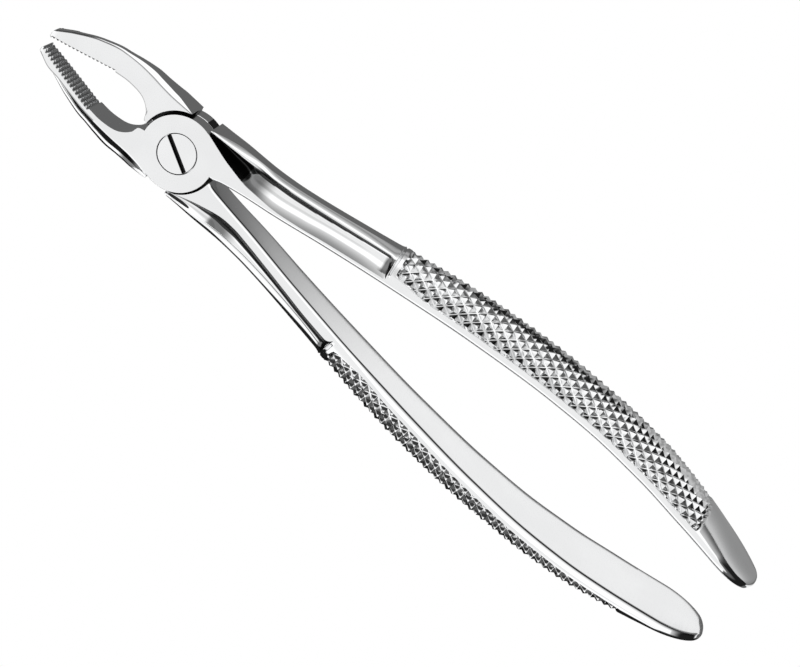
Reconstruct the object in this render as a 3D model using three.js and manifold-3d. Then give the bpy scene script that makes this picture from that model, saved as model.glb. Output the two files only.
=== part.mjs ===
// Extraction forceps with a screwed lap joint: two mirrored one-piece levers and a slotted pivot screw.
// Millimetres. The hinge axis is Z, the beaks point along +X and the handles along -X. The origin is where
// the hinge axis meets the back face of the joint. The levers are modelled a few degrees open.
import * as THREE from "three";
import { mergeVertices } from "three/addons/utils/BufferGeometryUtils.js";
import Module from "manifold-3d";

const wasm = await Module();
wasm.setup();

// Joint
const jointThickness = 7.6;
const lapGap = 0.1;
const discRadius = 7.85;
const recessRadius = 8.1;
const jointSegments = 96;
const middle = jointThickness / 2;

// Pivot screw
const headRadius = 4.05;
const headHeight = 1.6;
const counterboreRadius = 4.2;
const counterboreDepth = 1.75;
const shankRadius = 2.6;
const shankBoreRadius = 2.7;
const threadRadius = 2.2;
const threadBoreRadius = 2.3;
const slotWidth = 0.9;
const slotDepth = 0.9;
const slotAngle = THREE.MathUtils.degToRad(148.5);
const screwChamfer = 0.2;
const threadEnd = middle - 0.5;
const threadBoreTop = middle - 0.8;
const cutterReach = 1;
const cutterOverlap = 0.01;

// Beak, as distances along X from the hinge axis and out from the tool's centre line
const beakTip = [34.3, 1.95];
const gripFaceStart = [33.5, 1.2];
const gripFaceEnd = [19.4, 4.7];
const beakScoop = [[1.5, 0.52], [7.6, 0.52], [9.1, 1.0], [9.7, 2.5], [11.6, 4.2], [15.6, 5.0], gripFaceEnd];
const beakFrontEdge = [
  [2.3, 8.3], [4, 8.3], [7, 8.35], [10, 8.6], [13, 9.0], [16, 9.2], [20, 9.05], [25, 7.8], [30, 5.4],
  [32, 4.2], [33.5, 3.2],
];
const beakSideBulge = [[2.3, 0.0], [4, 0.45], [7, 0.9], [12, 1.0], [16, 0.75], [20, 0.5], [33.5, 0.35]];
const beakBackEdge = [
  [2.3, 8.3], [3.6, 8.0], [5, 7.3], [6.5, 6.8], [8, 6.6], [13, 6.5], [16, 6.3], [20, 5.8], [25, 4.75],
  [28, 4.1], [30.5, 3.8], [33.5, 2.5],
];
const beakSideLow = [
  [2.3, -3.6], [5, -2.8], [7, -2.0], [10, -0.9], [13, 0], [16, 0.9], [20, 1.5], [33.5, 1.2],
];
const beakHalfWidths = [[7, middle], [16, 3.55], [28, 3.15], [32.5, 2.7], [34.3, 2.3]];
const beakShoulder = 0.9;
const beakLeastSide = 0.1;
const scoopSteps = 18;
const gripFaceSteps = 8;
const tipSteps = 5;
const tipTrim = 0.005;

// Handle, as distances back from the hinge axis (d) and out from the centre line
const handleEnd = 141;
const handleInner = [
  [2.6, 0.36], [7.9, 0.36], [10.3, 1.0], [14.8, 1.85], [21.5, 2.9], [33, 5.0], [51, 7.85],
  [68, 10.1], [86, 11.7], [97, 12.05], [109, 11.5], [121, 10.0], [133, 8.0], [handleEnd, 6.6],
];
const handleOuter = [
  [2.6, 8.3], [6, 9.1], [10, 9.65], [16, 9.75], [21.5, 10.15], [27.4, 10.95], [39, 13.0], [51, 15.25],
  [62.5, 17.15], [74, 18.4], [86, 19.0], [97, 18.8], [109, 17.8], [117, 16.3], [126, 13.8],
  [133, 11.5], [handleEnd, 9.2],
];
const handleHalfWidths = [
  [2.6, middle], [12, middle], [27, 4.5], [39, 5.0], [51, 5.6], [68, 6.4], [86, 7.3],
  [97, 8.0], [109, 8.8], [121, 9.3], [handleEnd, 9.3],
];
const roundEndStart = 130.5;
const endFillet = 1.6;
const flangeFillet = 0.9;
const filletBow = 0.3;

// Neck: a flat strip beside the inner face, then a flute, then a narrow rounded rib along the outside
const stripEdge = [[2.6, 7.5], [9.8, 5.15], [15.6, 4.15], [20, 4.2], [27, 5.0], [33, 6.1], [47, 8.5]];
const ribEdge = [
  [2.6, 8.0], [10, 7.8], [16, 7.6], [21.5, 7.8], [27.4, 8.5], [33, 9.35], [39, 10.35], [47, 11.9],
];
const ribHalfWidths = [[2.6, 3.4], [10, 2.5], [16, 1.7], [27, 1.6], [39, 2.0], [47, 2.9]];
const fluteDip = 0.35;
const fluteSteepness = 2.4;
const fluteEndStart = 42.8;
const fluteEnd = 46.3;
const gripStripWidth = 1.2;
const fluteSteps = 4;
const ribSteps = 3;

// Where the handle's sections are taken
const neckStations = [
  2.6, 4.5, 7, 9.5, 12, 15, 18, 21.5, 25, 29, 33, 37, 40.5, fluteEndStart, 43.8, 44.6, 45.4, fluteEnd,
];
const gripStations = { from: 50, to: 122, step: 4.5 };
const endStations = { from: 126, to: handleEnd - 0.01, count: 12 };

// A smooth curve through [x, y] points that never overshoots between them (monotone cubic).
function through(points) {
  const last = points.length - 1;
  const slopes = points.slice(1).map(([x, y], i) => (y - points[i][1]) / (x - points[i][0]));
  const tangents = points.map((_, i) => {
    if (i === 0) return slopes[0];
    if (i === last) return slopes[last - 1];
    const [before, after] = [slopes[i - 1], slopes[i]];
    return before * after <= 0 ? 0 : (2 * before * after) / (before + after);
  });
  return (x) => {
    const clamped = THREE.MathUtils.clamp(x, points[0][0], points[last][0]);
    let i = 0;
    while (i < last - 1 && clamped > points[i + 1][0]) i += 1;
    const span = points[i + 1][0] - points[i][0];
    const t = (clamped - points[i][0]) / span;
    const rise = points[i + 1][1] - points[i][1];
    return (
      points[i][1] +
      rise * t * t * (3 - 2 * t) +
      span * t * (1 - t) * ((1 - t) * tangents[i] - t * tangents[i + 1])
    );
  };
}

const innerAt = through(handleInner);
const outerAt = through(handleOuter);
const halfWidthAt = through(handleHalfWidths);
const stripEdgeAt = through(stripEdge);
const ribEdgeAt = through(ribEdge);
const ribHalfWidthAt = through(ribHalfWidths);
const frontEdgeAt = through(beakFrontEdge);
const backEdgeAt = through(beakBackEdge);
const sideBulgeAt = through(beakSideBulge);
const sideLowAt = through(beakSideLow);
const halfBeakAt = through(beakHalfWidths);

function toSolid(geometry) {
  const bare = geometry.index ? geometry.toNonIndexed() : geometry.clone();
  bare.deleteAttribute("normal");
  bare.deleteAttribute("uv");
  const merged = mergeVertices(bare, 1e-4);
  return new wasm.Manifold(
    new wasm.Mesh({
      numProp: 3,
      vertProperties: merged.attributes.position.array,
      triVerts: new Uint32Array(merged.index.array),
    }),
  );
}

function toGeometry(solid) {
  const mesh = solid.getMesh();
  const geometry = new THREE.BufferGeometry();
  geometry.setAttribute("position", new THREE.BufferAttribute(mesh.vertProperties, 3));
  geometry.setIndex(new THREE.BufferAttribute(mesh.triVerts, 1));
  const faceted = geometry.toNonIndexed();
  faceted.computeVertexNormals();
  return faceted;
}

// A closed skin over rings of equally many points, with a flat cap at each end.
function loft(rings) {
  const count = rings[0].length;
  const points = rings.flat();
  const index = [];
  for (let r = 0; r < rings.length - 1; r += 1) {
    for (let k = 0; k < count; k += 1) {
      const next = (k + 1) % count;
      const [a, b, c, d] = [r * count + k, r * count + next, (r + 1) * count + next, (r + 1) * count + k];
      index.push(a, b, c, a, c, d);
    }
  }
  [rings[0], rings.at(-1)].forEach((ring, side) => {
    const centre = ring.reduce((sum, p) => sum.add(p), new THREE.Vector3()).divideScalar(count);
    const centreIndex = points.push(centre) - 1;
    const start = side === 0 ? 0 : (rings.length - 1) * count;
    for (let k = 0; k < count; k += 1) {
      const pair = [start + k, start + ((k + 1) % count)];
      index.push(centreIndex, ...(side === 0 ? pair.reverse() : pair));
    }
  });
  return new THREE.BufferGeometry().setFromPoints(points).setIndex(index);
}

function cylinder(radius, bottom, top, segments = jointSegments) {
  const geometry = new THREE.CylinderGeometry(radius, radius, top - bottom, segments);
  geometry.rotateX(Math.PI / 2);
  geometry.translate(0, 0, (top + bottom) / 2);
  return geometry;
}

// Half of the handle's cross-section at distance d, as [out from the centre line, half width] points that
// run from the inner face out to the back of the grip.
function handleHalfSection(d) {
  const endShare = THREE.MathUtils.clamp((d - roundEndStart) / (handleEnd - roundEndStart), 0, 1);
  const width = halfWidthAt(d) * Math.sqrt(1 - endShare ** 2);
  const filletShare = THREE.MathUtils.clamp((d - handleEnd + endFillet) / endFillet, 0, 1);
  const keep = Math.sqrt(1 - filletShare ** 2);
  const centre = (innerAt(d) + outerAt(d)) / 2;
  const inner = centre + (innerAt(d) - centre) * keep;
  const outer = centre + (outerAt(d) - centre) * keep;
  const fillet = Math.min(flangeFillet, width / 2, (outer - inner) / 4);
  const flute = 1 - THREE.MathUtils.smoothstep(d, fluteEndStart, fluteEnd);
  const bow = filletBow * fillet;
  const start = [[inner, width - fillet], [inner + bow, width - bow], [inner + fillet, width]];

  const gripEdge = inner + Math.min(gripStripWidth, (outer - inner) / 3);
  const steps = fluteSteps + ribSteps;
  const grip = [];
  for (let k = 0; k <= steps; k += 1) {
    const angle = (k / steps) * (Math.PI / 2);
    grip.push([gripEdge + (outer - gripEdge) * Math.sin(angle), width * Math.cos(angle)]);
  }

  const [strip, rib, ribWidth] = [stripEdgeAt(d), ribEdgeAt(d), ribHalfWidthAt(d)];
  const neck = [[strip, width]];
  for (let k = 1; k <= fluteSteps; k += 1) {
    const t = k / fluteSteps;
    const dip = fluteDip * Math.sin(Math.PI * t) * flute;
    neck.push([strip + (rib - strip) * t, ribWidth + (width - ribWidth) * (1 - t) ** fluteSteepness - dip]);
  }
  for (let k = 1; k <= ribSteps; k += 1) {
    const angle = (k / ribSteps) * (Math.PI / 2);
    neck.push([rib + (outer - rib) * Math.sin(angle), ribWidth * Math.cos(angle)]);
  }
  const blended = grip.map(([out, half], k) => [
    THREE.MathUtils.lerp(out, neck[k][0], flute),
    THREE.MathUtils.lerp(half, neck[k][1], flute),
  ]);
  return [...start, ...blended];
}

function handleSolid() {
  const stations = [...neckStations];
  for (let d = gripStations.from; d < gripStations.to; d += gripStations.step) stations.push(d);
  for (let k = 0; k < endStations.count; k += 1) {
    const share = Math.sin((k / endStations.count) * (Math.PI / 2));
    stations.push(THREE.MathUtils.lerp(endStations.from, endStations.to, share));
  }
  const rings = stations.map((d) => {
    const half = handleHalfSection(d);
    const front = half.map(([out, width]) => new THREE.Vector3(-d, out, middle + width));
    const back = half
      .slice(0, -1)
      .reverse()
      .map(([out, width]) => new THREE.Vector3(-d, out, middle - width));
    return [...front, ...back];
  });
  return toSolid(loft(rings));
}

// One section of the beak, between a point on its inner side and one on its outer side. Its front face is
// broad, its back face is narrow, and its side leans between them.
function beakRing(inner, outerX, share) {
  const edgeX = Math.min(outerX, gripFaceStart[0]);
  const base = outerX > gripFaceStart[0] ? gripFaceStart[1] : inner[1];
  const width = halfBeakAt((inner[0] + outerX) / 2);
  const front = (frontEdgeAt(edgeX) - base) * share;
  const back = (backEdgeAt(edgeX) - base) * share;
  const side = front + sideBulgeAt(edgeX) * share;
  const top = width - beakShoulder * Math.min(1, sideBulgeAt(edgeX));
  const low = Math.min(sideLowAt(edgeX), top - beakLeastSide);
  const section = [[0, width], [front, width], [side, top], [side, low], [back, -width], [0, -width]];
  const reach = frontEdgeAt(edgeX) * share;
  const lean = (outerX - inner[0]) / Math.max(reach, 1);
  return section.map(([out, height]) => {
    return new THREE.Vector3(inner[0] + lean * out, -(inner[1] + out), middle + height);
  });
}

function beakSolid() {
  const scoop = new THREE.SplineCurve(beakScoop.map((point) => new THREE.Vector2(...point)));
  const rings = [];
  for (let k = 0; k < scoopSteps; k += 1) {
    const t = k / scoopSteps;
    const outerX = THREE.MathUtils.lerp(beakFrontEdge[0][0], gripFaceEnd[0], t);
    rings.push(beakRing(scoop.getPointAt(t).toArray(), outerX, 1));
  }
  for (let k = 0; k <= gripFaceSteps; k += 1) {
    const x = THREE.MathUtils.lerp(gripFaceEnd[0], gripFaceStart[0], k / gripFaceSteps);
    const y = THREE.MathUtils.lerp(gripFaceEnd[1], gripFaceStart[1], k / gripFaceSteps);
    rings.push(beakRing([x, y], x, 1));
  }
  for (let k = 1; k <= tipSteps; k += 1) {
    const share = Math.cos((k / tipSteps) * (Math.PI / 2) * (1 - tipTrim));
    const x = THREE.MathUtils.lerp(beakTip[0], gripFaceStart[0], 1 - Math.sqrt(1 - share ** 2));
    rings.push(beakRing([x, THREE.MathUtils.lerp(beakTip[1], gripFaceStart[1], share)], x, share));
  }
  return toSolid(loft(rings));
}

// One lever with its joint disc in the back half of the joint, its handle at +Y and its beak at -Y.
function leverSolid() {
  const lapFace = middle - lapGap / 2;
  const otherDisc = toSolid(cylinder(recessRadius, lapFace, 2 * jointThickness));
  const disc = toSolid(cylinder(discRadius, 0, lapFace));
  return handleSolid().add(beakSolid()).subtract(otherDisc).add(disc);
}

function screwGeometry() {
  const headBottom = jointThickness - headHeight;
  const profile = [
    [0, 0],
    [threadRadius - screwChamfer, 0],
    [threadRadius, screwChamfer],
    [threadRadius, threadEnd],
    [shankRadius, threadEnd + screwChamfer],
    [shankRadius, headBottom],
    [headRadius, headBottom],
    [headRadius, jointThickness - screwChamfer],
    [headRadius - screwChamfer, jointThickness],
    [0, jointThickness],
  ].map((point) => new THREE.Vector2(...point));
  const lathe = new THREE.LatheGeometry(profile, jointSegments).rotateX(Math.PI / 2);
  const slot = new THREE.BoxGeometry(3 * headRadius, slotWidth, 2 * slotDepth);
  slot.rotateZ(slotAngle);
  slot.translate(0, 0, jointThickness);
  return toGeometry(toSolid(lathe).subtract(toSolid(slot)));
}

function steel(color, roughness) {
  return new THREE.MeshStandardMaterial({ color, roughness, metalness: 1, flatShading: true });
}

const lever = leverSolid();

// The screw is threaded into the back lever.
const threadedHole = cylinder(threadBoreRadius, -cutterReach, threadBoreTop + cutterOverlap);
const shankRelief = cylinder(shankBoreRadius, threadBoreTop, middle + cutterReach);
const rearLever = new THREE.Mesh(
  toGeometry(lever.subtract(toSolid(threadedHole)).subtract(toSolid(shankRelief))),
  steel(0xdadcde, 0.12),
);
rearLever.name = "rear_lever";

// The front lever turns on the screw's shank, under its countersunk head. It is the same forging turned over.
const bearingHole = cylinder(shankBoreRadius, -cutterReach, middle + cutterReach);
const counterbore = cylinder(counterboreRadius, -cutterReach, counterboreDepth);
const frontLever = new THREE.Mesh(
  toGeometry(lever.subtract(toSolid(bearingHole)).subtract(toSolid(counterbore))),
  steel(0xdcdee0, 0.12),
);
frontLever.name = "front_lever";
frontLever.rotation.x = Math.PI;
frontLever.position.z = jointThickness;

const pivotScrew = new THREE.Mesh(screwGeometry(), steel(0xe2e4e6, 0.1));
pivotScrew.name = "pivot_screw";

const group = new THREE.Group();
group.add(frontLever, rearLever, pivotScrew);
export default group;
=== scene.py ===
"""Looks of the extraction forceps: two polished, knurled levers and a slotted pivot screw.

Shapes are worked out in millimetres in the part's frame and turned into metres at the end. The hinge axis
is Z, the beaks point along +X and the handles along -X. Both levers are one forging: it is built once as the
rear lever, with its handle at +Y and its beak at -Y, and turned over for the front one.
"""

import math
from functools import reduce

import bmesh
import bpy
import numpy as np
from mathutils import Matrix, Vector


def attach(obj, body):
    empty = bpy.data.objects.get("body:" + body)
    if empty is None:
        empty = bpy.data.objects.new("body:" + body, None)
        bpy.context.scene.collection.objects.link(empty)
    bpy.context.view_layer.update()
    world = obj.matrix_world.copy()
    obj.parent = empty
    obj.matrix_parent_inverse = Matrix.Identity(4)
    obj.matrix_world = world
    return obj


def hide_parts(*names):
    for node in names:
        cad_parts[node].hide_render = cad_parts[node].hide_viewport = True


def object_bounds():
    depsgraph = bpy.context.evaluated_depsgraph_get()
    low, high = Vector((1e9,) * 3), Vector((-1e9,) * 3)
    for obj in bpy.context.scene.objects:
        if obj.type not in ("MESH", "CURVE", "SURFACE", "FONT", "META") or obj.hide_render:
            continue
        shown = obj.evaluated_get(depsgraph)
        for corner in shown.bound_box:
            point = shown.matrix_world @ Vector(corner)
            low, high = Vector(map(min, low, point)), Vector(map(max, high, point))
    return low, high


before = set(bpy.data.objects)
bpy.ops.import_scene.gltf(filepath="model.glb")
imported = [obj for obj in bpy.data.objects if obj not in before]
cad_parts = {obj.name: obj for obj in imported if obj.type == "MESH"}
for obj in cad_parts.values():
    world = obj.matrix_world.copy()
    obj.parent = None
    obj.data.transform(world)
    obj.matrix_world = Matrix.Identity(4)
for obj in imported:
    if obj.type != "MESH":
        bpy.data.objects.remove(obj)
cad_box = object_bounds()
scene = bpy.context.scene

MM = 0.001


def through(points):
    """A smooth curve through (x, y) points that never overshoots between them (monotone cubic)."""
    x, y = np.array(points, float).T
    slopes = np.diff(y) / np.diff(x)
    tangents = np.concatenate([slopes[:1], np.zeros(len(x) - 2), slopes[-1:]])
    for i in range(1, len(x) - 1):
        before, after = slopes[i - 1], slopes[i]
        if before * after > 0:
            tangents[i] = 2 * before * after / (before + after)

    def curve(v):
        v = np.clip(np.asarray(v, float), x[0], x[-1])
        i = np.clip(np.searchsorted(x, v) - 1, 0, len(x) - 2)
        span = x[i + 1] - x[i]
        t = (v - x[i]) / span
        rise = y[i + 1] - y[i]
        bend = span * t * (1 - t) * ((1 - t) * tangents[i] - t * tangents[i + 1])
        return y[i] + rise * t * t * (3 - 2 * t) + bend

    return curve


# Joint
THICKNESS = 7.6
MIDDLE = THICKNESS / 2
LAP_GAP = 0.1
LAP_HEIGHT = MIDDLE - LAP_GAP / 2
LAP_CHAMFER = 0.08
DISC_RADIUS = 7.85
RECESS_RADIUS = 8.1
EDGE_RADIUS = 0.16
RECESS_EASE = 0.28
RECESS_SHIFT = 0.3
CUTTER_EXTRA = 8

# Pivot screw and its holes
HEAD_RADIUS = 4.05
HEAD_HEIGHT = 1.6
HEAD_CHAMFER = 0.16
SEAT_RADIUS = 4.2
SEAT_DEPTH = 1.75
SHANK_RADIUS = 2.6
SHANK_START = MIDDLE - 0.3
SHANK_BORE = 2.7
SHANK_BORE_START = MIDDLE - 0.82
THREAD_RADIUS = 2.2
THREAD_END = MIDDLE - 0.5
THREAD_CHAMFER = 0.2
THREAD_BORE = 2.3
THREAD_BORE_END = MIDDLE - 0.8
HOLE_LIP = 0.05
SLOT_WIDTH = 0.9
SLOT_DEPTH = 0.9
SLOT_FLARE = 0.03
SLOT_CORNER = 0.08
SLOT_ANGLE = math.radians(148.5)

# Beak, as (distance along X, distance out from the centre line). The outer line lays out the sections. The
# front and back edges are where the flat faces end.
BEAK_TIP = (34.0, 1.9)
BEAK_ROOT = 2.3
TEETH_FROM, TEETH_TO = (33.5, 1.2), (19.4, 4.7)
BEAK_SCOOP = [(19.4, 4.7), (15.6, 5.0), (11.6, 4.2), (9.7, 2.5), (9.1, 1.0), (7.6, 0.52), (1.5, 0.52)]
beak_outer_at = through([
    (2.3, 8.4), (7, 8.6), (13.8, 8.5), (19.5, 7.8), (26, 6.1), (30.5, 4.15), (33.5, 2.7), (34.3, 2.0),
])
beak_front_at = through([
    (2.3, 8.3), (4, 8.3), (7, 8.35), (10, 8.6), (13, 9.0), (16, 9.2), (20, 9.05), (25, 7.75), (30, 5.25),
    (32, 3.95), (33.5, 2.9),
])
beak_back_at = through([
    (2.3, 7.7), (3.6, 7.35), (5, 7.0), (6.5, 6.75), (8, 6.6), (13, 6.5), (16, 6.3), (20, 5.8), (25, 4.75),
    (28, 4.1), (29.5, 3.95), (30.5, 3.8), (33.5, 2.5),
])

# Beak, as (distance along X, size)
beak_slope_at = through([
    (2.3, 0.0), (4, 0.36), (7, 0.8), (12, 0.9), (16, 0.6), (20, 0.28), (25, 0.16), (33.5, 0.1),
])
beak_low_at = through([
    (2.3, -3.3), (5, -2.4), (7, -1.8), (10, -0.8), (13, 0.0), (16, 0.9), (20, 1.5), (25, 1.6), (33.5, 1.2),
])
beak_half_at = through([(7, MIDDLE), (16, 3.55), (28, 3.15), (32.5, 2.7), (34.3, 2.3)])
BEAK_TIP_FLAT = 0.03
BEAK_TIP_SECTIONS = 14
BEAK_SCOOP_SECTIONS = 70
BEAK_NARROWS_AT = 30
BEAK_FACE_COLUMNS = 30
BEAK_EDGE_RADIUS = 0.3
TOOTH_EDGE_RADIUS = 0.16
CORNER_DROP, CORNER_DROP_SHARE = 0.35, 0.2
CORNER_OUT = 0.12
CORNER_EASE = np.array([0.05, -0.14])
SLOPE_FALL = 0.9
SIDE_LEAST = 0.15
LEDGE_IN, LEDGE_DOWN = 0.29, 0.34
LEDGE_WIDTH = np.array([0.42, 0.13])
LEDGE_CURVE = np.array([(0.12, 0.03), (0.2, 0.2), (0.28, 0.42)])
BACK_CORNER = np.array([0.03, 0.06])
MARK_LINE = 0.08
TOOTH_PITCH = 0.87
TOOTH_SECTIONS = 6
TOOTH_DEPTH = 0.5
TOOTH_LINES = 5
TOOTH_FULL_DEPTH_HALF = 1.5
TOOTH_CROSS_SLOPE, TOOTH_LENGTH_SLOPE = 2.4, 2.2

# Handle, as (distance back from the hinge axis, distance out from the centre line)
HANDLE_START, HANDLE_END = 2.6, 141.0
inner_at = through([
    (2.6, 0.36), (7.9, 0.36), (10.3, 1.0), (14.8, 1.85), (21.5, 2.9), (33, 5.0), (51, 7.85), (68, 10.1),
    (86, 11.7), (97, 12.05), (109, 11.5), (121, 10.0), (133, 8.0), (141, 6.6),
])
outer_at = through([
    (2.6, 8.3), (6, 9.1), (10, 9.65), (16, 9.75), (21.5, 10.15), (27.4, 10.95), (39, 13.0), (51, 15.25),
    (62.5, 17.15), (74, 18.4), (86, 19.0), (97, 18.8), (109, 17.8), (117, 16.3), (126, 13.8), (133, 11.5),
    (141, 9.2),
])
half_width_at = through([
    (2.6, MIDDLE), (12, MIDDLE), (27, 4.5), (39, 5.0), (51, 5.6), (68, 6.4), (86, 7.3), (97, 8.0),
    (109, 8.8), (121, 9.3), (141, 9.3),
])
ROUND_END_START = 130.5
END_FILLET = 1.6
END_FLAT = 0.004

# Inner face of the handle: a slight crown, with a bevel in front and a rounding behind
front_bevel_at = through([(2.6, 0.3), (12, 0.45), (47, 0.55), (65, 1.05), (141, 1.05)])
back_rounding_at = through([(2.6, 0.4), (12, 0.8), (47, 1.0), (65, 1.15), (141, 1.15)])
BEVEL_WIDTH_LIMIT, BEVEL_DEPTH_LIMIT = 0.4, 0.3
BEVEL_RISE = 0.95
BEVEL_END_SHARE = 0.12
BEVEL_EDGE, BEVEL_EDGE_SHARE, BEVEL_EDGE_GROWTH = 0.28, 0.6, 0.42
ROUNDING_PULL = 0.55
ROUNDING_END = 0.01
INNER_CROWN = 0.1

# Neck: a flat strip beside the inner face, then a flute, then a rib with a flat outer side
front_strip_at = through([
    (2.6, 7.5), (9.8, 5.15), (15.6, 4.15), (18, 4.25), (21.5, 4.8), (27, 5.85), (33, 7.1), (39, 8.35),
    (47, 9.6),
])
back_strip_at = through([
    (2.6, 7.5), (9.8, 5.15), (15.6, 4.1), (20, 4.1), (27, 4.95), (33, 6.15), (39, 7.2), (47, 8.6),
])
STRIP_START = 0.05
rib_edge_at = through([
    (2.6, 8.0), (10, 7.8), (16, 7.75), (21.5, 8.05), (27.4, 8.75), (33, 9.6), (39, 10.6), (47, 12.15),
])
rib_half_at = through([(2.6, 3.4), (10, 2.7), (16, 2.0), (27, 1.85), (39, 2.2), (47, 3.1)])
flute_dip_at = through([
    (2.6, 0.1), (4.5, 1.2), (7, 2.1), (11.6, 2.3), (13, 1.7), (14.5, 0.6), (16, 0.35), (47, 0.35),
])
steepness_at = through([(12, 2.9), (18, 2.8), (27, 2.35), (39, 2.0), (47, 1.9)])
FRONT_FLUTE_DIP = 0.7
FRONT_DIP_ENDS = (13, 16)
START_RIB_RISE, FRONT_RIB_RISE, BACK_RIB_RISE = 0.3, 0.12, 0.72
RIB_RISE_CHANGES = (12, 20)
rib_inset_at = through([(2.6, 0.0), (6, 0.25), (10, 0.4), (47, 0.42)])
rib_side_at = through([(2.6, 3.55), (6, 2.4), (10, 1.75), (16, 1.5), (27, 1.28), (47, 1.2)])
FLUTE_END_START, FLUTE_END = 45.0, 46.55

# The rib's crest and the pulls of the curves beside it, as shares of its lift or of the way to the outer side
CREST_OUT, CREST_UP = 1.1, 0.92
WALL_START_PULL, WALL_END_PULL = (0.3, 0.04), (0.35, 0.08)
TOP_START_PULL, TOP_END_PULL = (0.35, 0.02), (0.22, 0.45)

# Collar and knurl of the grip
GROOVE_AT = 46.95
GROOVE_HALF = 0.28
GROOVE_DEPTH = 0.28
GROOVE_ROUNDNESS = 0.8
GROOVE_FADE = (0.5, 2.2)
KNURL_START, KNURL_STOP = 47.9, 124.2
KNURL_EASE = 0.9
KNURL_LENGTH = 3.05
KNURL_WIDTH = 2.5
KNURL_DEPTH = 0.76
KNURL_STEPS = 16
KNURL_FLAT = 0.12
KNURL_WOBBLE = 0.035
KNURL_MARGIN, KNURL_START_MARGIN, KNURL_START_LENGTH = 0.75, 1.2, 9
KNURL_FADE = 0.4
KNURL_OVERRUN = 0.5
# The knurl's painted shade: how dark the foot of one side of each pyramid is, how dark the other three, and
# where on a side it rises and falls
KNURL_DARK_SIDE = 0.4
KNURL_OTHER_SIDES = 0.03
KNURL_FOOT_STARTS, KNURL_FOOT_ENDS = (0.25, 0.5), (0.84, 0.94)

# Columns of the handle's half section, and the turn of points that carry no knurl
SMOOTH_FACE = 1e3
INNER_COLUMNS = 5
EDGE_COLUMNS = 5
BEVEL_COLUMNS = 3
OUTER_COLUMNS = 80
STRIP_COLUMNS = 6
FLUTE_COLUMNS = 34
CREST_COLUMNS = 6
RIB_COLUMNS = 22
SIDE_COLUMNS = OUTER_COLUMNS - STRIP_COLUMNS - FLUTE_COLUMNS - CREST_COLUMNS - RIB_COLUMNS + 1
GRIP_SQUEEZE = 0.9

# Sections of the handle
JOINT_SECTIONS, NECK_SECTIONS = (HANDLE_START, 14, 32), (14.4, FLUTE_END_START, 60)
FLUTE_END_SECTIONS = 20
GROOVE_SECTIONS, GROOVE_SPREAD = 15, 1.3
ROUND_END_SECTIONS = 48

# Painted shade and painted dark edge lines, which also make the steel duller: 0 on the open outside, 0.3 and
# more where it is painted black. They start, end, widen or narrow between two distances from the hinge axis.
STRIP_MARGIN, RIB_MARGIN = 0.04, 0.03
TROUGH_STARTS, TROUGH_ENDS, TROUGH_INSET = (2.7, 3.4), (12.2, 13.3), 0.25
BAND_MARK, BAND_STARTS, BAND_WIDENS = 0.6, (2.7, 4.0), (3, 16)
BAND_WIDTH, BAND_GROWTH, BAND_FADE = 0.25, 1.7, 0.25
SHADOW_MARK, SHADOW_STARTS, SHADOW_ENDS = 0.24, (12, 13), (16, 20)
FLUTE_MARKS_END = (44.9, 45.1)
CREST_MARK, CREST_STARTS, CREST_NARROWS = 0.3, (13, 16), (22, 42)
CREST_INSIDE, CREST_NARROWING, CREST_OUTSIDE, CREST_REACH = 0.55, 0.5, 0.8, 0.72
HOOK_MARK, HOOK_STARTS, HOOK_ENDS = 0.25, (44.6, 45.0), (46.1, 46.5)
HOOK_FROM_STRIP, HOOK_PAST_RIB, HOOK_INSET = 0.3, 0.6, 0.9
RECESS_MARK_RADII = (DISC_RADIUS + 0.05, RECESS_RADIUS + 1.0)
RECESS_MARK_HEIGHTS = (-0.08, MIDDLE - 0.03)
RECESS_WALL = RECESS_RADIUS + RECESS_EASE + 0.02
RIM_THICKNESS = 0.03
RIM_ANGLES = ((5, 75), (-175, -95))
TOOTH_MARK, TOOTH_MARK_FROM, TOOTH_MARK_SHARE = 0.1, 0.05, 0.9
TOOTH_MARK_INSET = 0.02
CHAMFER_MARK, CHAMFER_ENDS, CHAMFER_START = 0.25, (8, 10), 2
CHAMFER_BELOW_SIDE, CHAMFER_PAST_BACK = 0.5, 0.06
BEAK_LINE_MARK, BEAK_LINE_WIDTH = 0.2, 0.18
BEAK_LINE_HEIGHTS, BEAK_LINE_START = (0.13, 0.002), 9
BACK_LINE_HEIGHT, BACK_LINE_START = 0.07, 17
BEVEL_MARK, BEVEL_MARK_START = 0.3, 9
BEVEL_MARK_INSIDE, BEVEL_MARK_OUTSIDE, BEVEL_MARK_GROWTH = 0.12, 0.2, 0.28

SHARP_LEVER, SHARP_SCREW = 34, 30
# The painted shade of the screw's slot grows between these depths below the head's face
SLOT_MARK_DEPTHS = (0.1, 0.25)


def smooth(v, low, high):
    """A smooth rise from 0 at low to 1 at high."""
    t = np.clip((np.asarray(v, float) - low) / (high - low), 0, 1)
    return t * t * (3 - 2 * t)


def fading(v, low, high):
    """A smooth fall from 1 at low to 0 at high."""
    return 1 - smooth(v, low, high)


def within(v, low, high):
    """Whether v is between low and high."""
    return (v > low) & (v < high)


def bezier(a, b, c, d, steps):
    """steps points after a on the cubic from a to d."""
    t = (np.arange(1, steps + 1) / steps)[:, None]
    a, b, c, d = (np.array(p, float) for p in (a, b, c, d))
    return (1 - t) ** 3 * a + 3 * t * (1 - t) ** 2 * b + 3 * t * t * (1 - t) * c + t**3 * d


def line(a, b, steps):
    """steps points after a on the straight line from a to b."""
    t = (np.arange(1, steps + 1) / steps)[:, None]
    return (1 - t) * np.array(a, float) + t * np.array(b, float)


def new_object(name, points, faces):
    """A mesh object with these points and faces, in the scene."""
    mesh = bpy.data.meshes.new(name)
    mesh.from_pydata([tuple(p) for p in points], [], faces)
    mesh.validate()
    made = bpy.data.objects.new(name, mesh)
    scene.collection.objects.link(made)
    return made


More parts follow.
